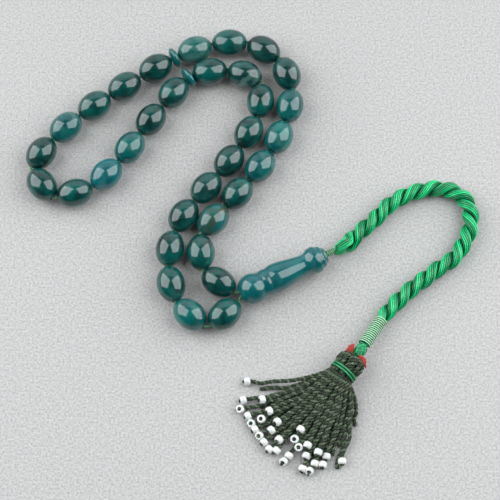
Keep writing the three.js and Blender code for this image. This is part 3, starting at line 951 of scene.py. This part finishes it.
class MISBAHA_OT_silk_cord(bpy.types.Operator):
    """Add the twisted silk cord that carries the tassel"""

    bl_idname = "misbaha.silk_cord"
    bl_label = "Silk Cord"

    def execute(self, context):
        yarn = context.scene.misbaha_yarn
        silk = tuple(yarn.silk)
        diameter = yarn.rope_diameter
        # The brightest strand tones are partly the silk's own tone and partly painted highlights on
        # the threads.
        material = twisted_yarn(
            "Silk_green", lighter(silk, 0.85), lighter(silk, 4.9), 0.3, gloss=0.6
        )
        steps = [from_eye(step) for step in (*ROPE_ROUTE, *WHIPPING_ENDS)]
        route = smooth_route(steps, 0.8 * MM)
        piece = twisted(
            "tassel_cord_silk", [route], material, plies=2, threads=14, diameter=diameter,
            ply_pitch=-yarn.rope_pitch, step=0.55 * MM, thread_share=0.82,
            closed_start=3.4 * MM, thread_pitch=-yarn.rope_pitch * 2.2,
            eye_spread=1.2 * MM, narrow_end=6 * MM, narrow_hold=8.4 * MM,
            untwisted=4.5 * MM, phase=EYE_PHASE,
        )
        add_piece(piece, "cord", "green_silk", "tassel_cord")
        whipping = self.whipping(yarn)
        knot = self.knot(silk)
        return {"FINISHED"}

    def whipping(self, yarn):
        mint = blended(tuple(yarn.mint), (0.4, 0.6, 0.42), 0.4)
        material = twisted_yarn(
            "Whipping_mint", lighter(mint, 1.4), lighter(mint, 2.0), 0.45, 0.2
        )
        start, end = (from_eye(step) for step in WHIPPING_ENDS)
        end = end.lerp(KNOT, 0.12)
        piece = coil(
            "cord_whipping_silk", start, end, yarn.whipping_diameter, WINDING, material,
            WHIPPING_GAP,
        )
        return add_piece(piece, "cord", "whipping", "cord_whipping")

    def knot(self, silk):
        """One strand that runs over and under itself round an egg-shaped knot."""
        material = twisted_yarn("Knot_silk", lighter(silk, 0.5), lighter(silk, 3.6), 0.3, gloss=0.7)
        half_length, radius, strand = 2.2 * MM, 1.35 * MM, 1.3 * MM
        turns, waves, points = 5, 7, 240
        lift, top_level = 0.14, 1.25
        matrix = frame_along(KNOT, TASSEL_AXIS)
        route = []
        for index in range(points + 1):
            share = 2 * math.pi * index / points
            around = share * turns
            wave = share * waves
            over = 1 + lift * math.cos(2 * wave + around)
            level = top_level * math.sin(wave)
            reach = radius * math.cos(level) * over
            route.append(matrix @ Vector((
                half_length * math.sin(level), reach * math.cos(around),
                reach * math.sin(around),
            )))
        piece = twisted(
            "cord_knot_silk", [route], material, plies=1, threads=7, diameter=strand,
            ply_pitch=4 * MM, step=0.4 * MM, thread_share=0.7,
        )
        return add_piece(piece, "cord", "green_silk", "cord_knot")


# ---- Tassel ---------------------------------------------------------------------------


def on_tassel(along, side=0.0, height=None):
    """A point along the tassel from the knot and to its side, at a height."""
    point = Vector((KNOT.x, KNOT.y, 0)) + TASSEL_AXIS * along + TASSEL_SIDE * side
    point.z = TASSEL_HEIGHT if height is None else height
    return point


# The red tufts: node, random seed, and root and tips as steps in millimetres along the tassel
# from the knot and to its side.
TUFTS = (
    ("red_tuft_left", 3, (0.4, -2.6), ((4.6, -3.6), (3.4, -0.6), (0.2, -3.1))),
    ("red_tuft_right", 8, (2.2, 1.2), ((1.4, 3.3), (3.9, 5.0), (3.8, 2.4))),
)

TUFT_FIBRES = 120
TUFT_FIBRE = 0.34 * MM
TUFT_ROOT_HEIGHT = 5.2 * MM
TUFT_TIP_HEIGHT = 5.4 * MM

HEAD_YARNS = 34
HEAD_RADIUS = 5 * MM
# A yarn of the head: share of the way along the head, and share of the head's radius.
HEAD_OUTLINE = (
    (0.02, 0.15), (0.04, 0.5), (0.12, 0.8), (0.35, 0.97), (0.65, 1.0),
    (0.85, 0.92), (1.0, 0.82), (1.2, 0.77), (1.5, 0.76),
)
HEAD_START = 2.7 * MM
HEAD_END = 7.5 * MM
TIE_START = 8.1 * MM
TIE_END = 9.7 * MM
TIE_DIAMETER = 9.1 * MM
TIE_STRAND = 0.9 * MM
TIE_HALF_WIDTH = 1.15 * MM
NECK_RADIUS = 3.15 * MM
TIE_SKEW = math.radians(-7)


class MISBAHA_OT_red_tufts(bpy.types.Operator):
    """Add the two fluffy red tufts beside the knot"""

    bl_idname = "misbaha.red_tufts"
    bl_label = "Red Tufts"

    def execute(self, context):
        red = tuple(context.scene.misbaha_yarn.red)
        material = twisted_yarn("Red_yarn", lighter(red, 0.7), red, 0.8, 0.6)
        for node, seed, root, tips in TUFTS:
            self.tuft(node, random.Random(seed), material, root, tips)
        return {"FINISHED"}

    def tuft(self, node, chance, material, root, tips):
        """A bunch of short fibres from a root to anywhere between three tips."""
        places = [on_tassel(along * MM, side * MM, TUFT_TIP_HEIGHT) for along, side in tips]
        start = on_tassel(root[0] * MM, root[1] * MM, TUFT_ROOT_HEIGHT)
        routes = []
        for _ in range(TUFT_FIBRES):
            shares = sorted((chance.random(), chance.random()))
            tip = (
                places[0] * shares[0] + places[1] * (shares[1] - shares[0])
                + places[2] * (1 - shares[1])
            )
            spread = Vector([chance.uniform(-1, 1) for _ in range(3)])
            middle = start.lerp(tip, 0.5) + spread * 0.5 * MM + UP * 0.5 * MM
            routes.append([
                start + spread * 0.45 * MM, middle, tip + UP * chance.uniform(-1, 0.6) * MM,
            ])
        piece = twisted(
            node + "_yarn", routes, material, plies=1, threads=1, diameter=TUFT_FIBRE,
            ply_pitch=1 * MM, step=0.8 * MM, sides=5,
        )
        add_piece(piece, "tassel", "red_yarn", node)


def dark_yarn(context):
    dark = tuple(context.scene.misbaha_yarn.dark)
    material = bpy.data.materials.get("Dark_yarn")
    # The brightest strand tones, far above the yarn's own dark, are partly its random tone and
    # partly painted glints along the twist.
    return material or twisted_yarn(
        "Dark_yarn", lighter(dark, 1.2), lighter(dark, 25.0), 0.6, gloss=0.15, strand_share=0.42
    )


class MISBAHA_OT_tassel_head(bpy.types.Operator):
    """Add the tassel's head of folded yarns"""

    bl_idname = "misbaha.tassel_head"
    bl_label = "Tassel Head"

    def execute(self, context):
        yarn = context.scene.misbaha_yarn
        chance = random.Random(5)
        diameter = yarn.yarn_diameter * 0.75
        radius = HEAD_RADIUS - diameter / 2
        routes = []
        for index in range(HEAD_YARNS):
            angle = 2 * math.pi * (index + chance.uniform(-0.2, 0.2)) / HEAD_YARNS
            twist = chance.uniform(-0.2, 0.2)
            full = chance.uniform(0.88, 1.0)
            route = []
            for share, out in HEAD_OUTLINE:
                turn = angle + twist * share
                along = HEAD_START + 0.5 * MM + (HEAD_END - HEAD_START) * share
                reach = radius * out * full
                route.append(on_tassel(
                    along, reach * math.cos(turn), TASSEL_HEIGHT + reach * math.sin(turn)
                ))
            routes.append(smooth_route(route, 0.5 * MM))
        piece = twisted(
            "tassel_head_yarn", routes, dark_yarn(context), plies=2, threads=1,
            diameter=diameter, ply_pitch=2.6 * MM, step=0.3 * MM,
        )
        add_piece(piece, "tassel", "dark_yarn", "tassel_head")
        return {"FINISHED"}


class MISBAHA_OT_neck_tie(bpy.types.Operator):
    """Add the green tie wound round the tassel's neck"""

    bl_idname = "misbaha.neck_tie"
    bl_label = "Neck Tie"

    def execute(self, context):
        silk = tuple(context.scene.misbaha_yarn.silk)
        material = twisted_yarn("Tie_silk", lighter(silk, 0.9), lighter(silk, 4.0), 0.35, gloss=0.6)
        middle = on_tassel((TIE_START + TIE_END) / 2 + 0.1 * MM)
        half = heading(TASSEL_AZIMUTH + TIE_SKEW) * TIE_HALF_WIDTH
        piece = coil(
            "neck_tie_silk", middle - half, middle + half, TIE_DIAMETER, TIE_STRAND,
            material, step_angle=10,
        )
        add_piece(piece, "tassel", "green_silk", "neck_tie")
        return {"FINISHED"}


def seed_places():
    """The middle of every small glass bead, first the ones that the frame has."""
    framed = [middle_of(node) for node in SEED_NODES]
    loose = [
        Vector((KNOT.x + x * MM, KNOT.y + y * MM, z * MM)) for x, y, z in LOOSE_SEEDS
    ]
    return framed, loose


def yarn_direction(spot):
    """The way a yarn points on the surface where it reaches a small bead."""
    foot = on_tassel(TIE_END)
    return Vector((spot.x - foot.x, spot.y - foot.y, 0)).normalized()


NECK_ROOM = 4.1 * MM  # the radius inside the neck that the yarns fill


class MISBAHA_OT_fringe(bpy.types.Operator):
    """Add the fringe of plied yarns"""

    bl_idname = "misbaha.fringe"
    bl_label = "Fringe"

    def execute(self, context):
        yarn = context.scene.misbaha_yarn
        diameter = yarn.yarn_diameter
        chance = random.Random(11)
        framed, loose = seed_places()
        bare = [Vector((KNOT.x + x * MM, KNOT.y + y * MM, z * MM)) for x, y, z in BARE_ENDS]
        ends = framed + loose + bare
        ends.sort(key=lambda spot: math.atan2(*yarn_direction(spot).yx) % math.tau)
        fillers = []
        for first, second in zip(ends, ends[1:]):
            end = first.lerp(second, 0.5).lerp(on_tassel(TIE_END), chance.uniform(0.12, 0.3))
            fillers.append(Vector((end.x, end.y, diameter / 2)))
        routes = []
        for kind, places in ((1, ends), (0, fillers)):
            for index, end in enumerate(places):
                share = 2 * index / (len(places) - 1) - 1
                room = NECK_ROOM - diameter / 2
                layer = (index % 3 - 1) * kind - (1 - kind)
                height = layer * room * 0.6 * math.sqrt(1 - share**2)
                routes.append(self.yarn(end, share * room, height, diameter, chance))
        piece = twisted(
            "fringe_yarn", routes, dark_yarn(context), plies=2, threads=1,
            diameter=diameter, ply_pitch=2.5 * MM, step=0.4 * MM, sides=6,
        )
        add_piece(piece, "tassel", "dark_yarn", "fringe")
        return {"FINISHED"}

    def yarn(self, end, width, height, diameter, chance):
        """From inside the neck, out over the surface and through its small bead."""
        direction = yarn_direction(end)
        reach = (end - on_tassel(TIE_END)).length
        start = on_tassel(HEAD_END - 1 * MM, width, TASSEL_HEIGHT + height)
        leave = on_tassel(TIE_END + 1.2 * MM, width * 1.15, TASSEL_HEIGHT + height)
        low = max(diameter / 2, end.z)
        rise = (height / NECK_RADIUS + 1) * 0.9 * MM
        points = [start, leave]
        for share in (0.3, 0.5, 0.7, 0.85):
            spot = leave.lerp(end, share)
            fall = (1 - share) ** 1.6
            spot.z = low + (TASSEL_HEIGHT - low) * fall + rise * (1 - share)
            side = 1.5 if width > 0 else -1.6
            bow = width / NECK_RADIUS * side * MM + chance.uniform(-0.8, 0.8) * MM
            sway = bow * math.sin(math.pi * share)
            spot += UP.cross(direction) * sway * reach / (30 * MM)
            points.append(spot)
        last = Vector((end.x, end.y, low)) + direction * 1.3 * MM
        points += [Vector((end.x, end.y, low)) - direction * 1.5 * MM, last]
        return smooth_route(points, 0.8 * MM)


SEED_HALF = 1.0 * MM
SEED_RADIUS = 1.38 * MM
SEED_BORE_RADIUS = 0.62 * MM
SEED_SIDES = 20
SEED_TILTS = (0.1, 0.3, 1.4, 2.6)  # rise of the bore over its run


class MISBAHA_OT_glass_beads(bpy.types.Operator):
    """Add the small white glass beads at the ends of the yarns"""

    bl_idname = "misbaha.glass_beads"
    bl_label = "Small Glass Beads"

    def execute(self, context):
        material, tree, shader = new_material(
            "Glass_white", Roughness=0.12, IOR=1.5, Coat_Weight=0.5, Coat_Roughness=0.05,
            Subsurface_Weight=0.15, Subsurface_Scale=0.5 * MM,
        )
        milk = ramp(
            tree, object_noise(tree, 900), [(0.3, (0.5, 0.515, 0.51)), (0.7, (0.68, 0.68, 0.665))]
        )
        tree.links.new(milk, shader.inputs["Base Color"])
        half, outer, inner = SEED_HALF, SEED_RADIUS, SEED_BORE_RADIUS
        profile = [
            (-half * 0.8, inner), (-half, inner * 1.2), (-half * 0.93, outer * 0.78),
            (-half * 0.62, outer * 0.95), (0, outer), (half * 0.62, outer * 0.95),
            (half * 0.93, outer * 0.78), (half, inner * 1.2), (half * 0.8, inner),
        ]
        framed, loose = seed_places()
        for node, spot in zip(SEED_NODES, framed):
            name = node + "_glass"
            matrix = frame_along(spot, yarn_direction(spot))
            mesh = turned_mesh(name, profile, SEED_SIDES, matrix)
            add_piece(finish_mesh(name, mesh, material), "tassel", "seed_glass", node)
        chance = random.Random(21)
        for number, spot in enumerate(loose, start=len(framed) + 1):
            name = f"seed_bead_{number:02d}_glass"
            tilt = chance.choice(SEED_TILTS) * chance.uniform(0.6, 1.2)
            axis = yarn_direction(spot) + UP * tilt
            matrix = frame_along(spot, axis.normalized())
            mesh = turned_mesh(name, profile, SEED_SIDES, matrix)
            add_piece(finish_mesh(name, mesh, material), "tassel", "seed_glass")
        return {"FINISHED"}


# ---- Stage ----------------------------------------------------------------------------

LOOK_AT = Vector((16.0, -2.2, 0)) * MM
LENS = 99.7  # mm on a 36 mm sensor
FLOOR_HALF = 1.5
LIGHT_TINT = (0.94, 0.98, 1.0)
WORLD_TINT = (0.9, 0.95, 1.0, 1.0)
WORLD_STRENGTH = 0.04


def aim(thing, target):
    """Turns a camera or light so that it looks at a point."""
    thing.rotation_euler = (target - thing.location).to_track_quat("-Z", "Y").to_euler()


class MISBAHA_OT_stage(bpy.types.Operator):
    """Add the floor, the soft lights and the camera"""

    bl_idname = "misbaha.stage"
    bl_label = "Stage"

    def execute(self, context):
        stage = context.scene.misbaha_stage
        self.camera(context.scene, stage)
        self.floor(stage)
        self.softboxes(stage)
        world = bpy.data.worlds.new("Studio")
        world.use_nodes = True
        background = world.node_tree.nodes["Background"]
        background.inputs["Color"].default_value = WORLD_TINT
        background.inputs["Strength"].default_value = WORLD_STRENGTH
        context.scene.world = world
        context.scene.view_settings.view_transform = "Standard"
        return {"FINISHED"}

    def camera(self, scene, stage):
        data = bpy.data.cameras.new("Camera")
        data.lens = LENS
        data.clip_start = 10 * MM
        camera = bpy.data.objects.new("Camera", data)
        scene.collection.objects.link(camera)
        away = Vector((0, -math.cos(stage.elevation), math.sin(stage.elevation)))
        camera.location = LOOK_AT + away * stage.distance
        aim(camera, LOOK_AT)
        scene.camera = camera

    def floor(self, stage):
        half = FLOOR_HALF
        mesh = bpy.data.meshes.new("floor")
        corners = [(-half, -half, 0), (half, -half, 0), (half, half, 0), (-half, half, 0)]
        mesh.from_pydata(corners, [], [(0, 1, 2, 3)])
        material, tree, shader = new_material("Floor_pale", Roughness=0.9)
        base = tuple(stage.floor)
        grain = object_noise(tree, 1500, detail=3.0)
        tree.links.new(
            ramp(tree, grain, [(0.3, lighter(base, 0.77)), (0.7, lighter(base, 1.23))]),
            shader.inputs["Base Color"],
        )
        mesh.materials.append(material)
        floor = bpy.data.objects.new("floor", mesh)
        bpy.context.scene.collection.objects.link(floor)

    def softboxes(self, stage):
        # Name, place and target in metres, share of the power, sizes, seen in the polish.
        for name, spot, target, share, sizes, glossy in (
            ("Softbox_left", (-0.435, 0.0, 0.385), (0, -0.3, 0), 1.0, (0.66, 0.74), True),
            ("Softbox_right", (0.435, 0.0, 0.385), (0, -0.3, 0), 1.0, (0.66, 0.74), True),
            ("Back_card", (0, 0.8, 0.45), (0, 0, 0), 0.85, (2.2, 0.9), True),
            ("Front_fill", (0, -0.7, 0.35), (0, 0, 0), 0.1, (0.8, 0.5), False),
        ):
            data = bpy.data.lights.new(name, "AREA")
            data.shape = "RECTANGLE"
            data.size, data.size_y = sizes
            data.energy = stage.softbox_power * share
            data.color = LIGHT_TINT
            light = bpy.data.objects.new(name, data)
            light.visible_glossy = glossy
            bpy.context.scene.collection.objects.link(light)
            light.location = spot
            aim(light, Vector(target))


# ---- Panel and registration -----------------------------------------------------------

OPERATORS = (
    MISBAHA_OT_stage, MISBAHA_OT_threads, MISBAHA_OT_thread_ends, MISBAHA_OT_silk_cord,
    MISBAHA_OT_beads, MISBAHA_OT_discs, MISBAHA_OT_imam, MISBAHA_OT_red_tufts,
    MISBAHA_OT_tassel_head, MISBAHA_OT_neck_tie, MISBAHA_OT_fringe,
    MISBAHA_OT_glass_beads,
)


class MISBAHA_PT_panel(bpy.types.Panel):
    """Lists the operators and the settings of the prayer beads"""

    bl_idname = "MISBAHA_PT_panel"
    bl_label = "Misbaha"
    bl_space_type = "VIEW_3D"
    bl_region_type = "UI"
    bl_category = "Misbaha"

    def draw(self, context):
        layout = self.layout
        for operator in OPERATORS:
            layout.operator(operator.bl_idname)
        scene = context.scene
        for settings in (scene.misbaha_stone, scene.misbaha_yarn, scene.misbaha_stage):
            box = layout.box()
            for name in settings.__annotations__:
                box.prop(settings, name)


SETTINGS = {
    "misbaha_stone": MisbahaStone,
    "misbaha_yarn": MisbahaYarn,
    "misbaha_stage": MisbahaStage,
}
CLASSES = (*SETTINGS.values(), *OPERATORS, MISBAHA_PT_panel)


def register():
    for cls in CLASSES:
        bpy.utils.register_class(cls)
    for name, cls in SETTINGS.items():
        setattr(bpy.types.Scene, name, bpy.props.PointerProperty(type=cls))


def unregister():
    for name in SETTINGS:
        delattr(bpy.types.Scene, name)
    for cls in reversed(CLASSES):
        bpy.utils.unregister_class(cls)


def main():
    register()
    for operator in OPERATORS:
        area, name = operator.bl_idname.split(".")
        getattr(getattr(bpy.ops, area), name)()


if __name__ == "__main__":
    main()
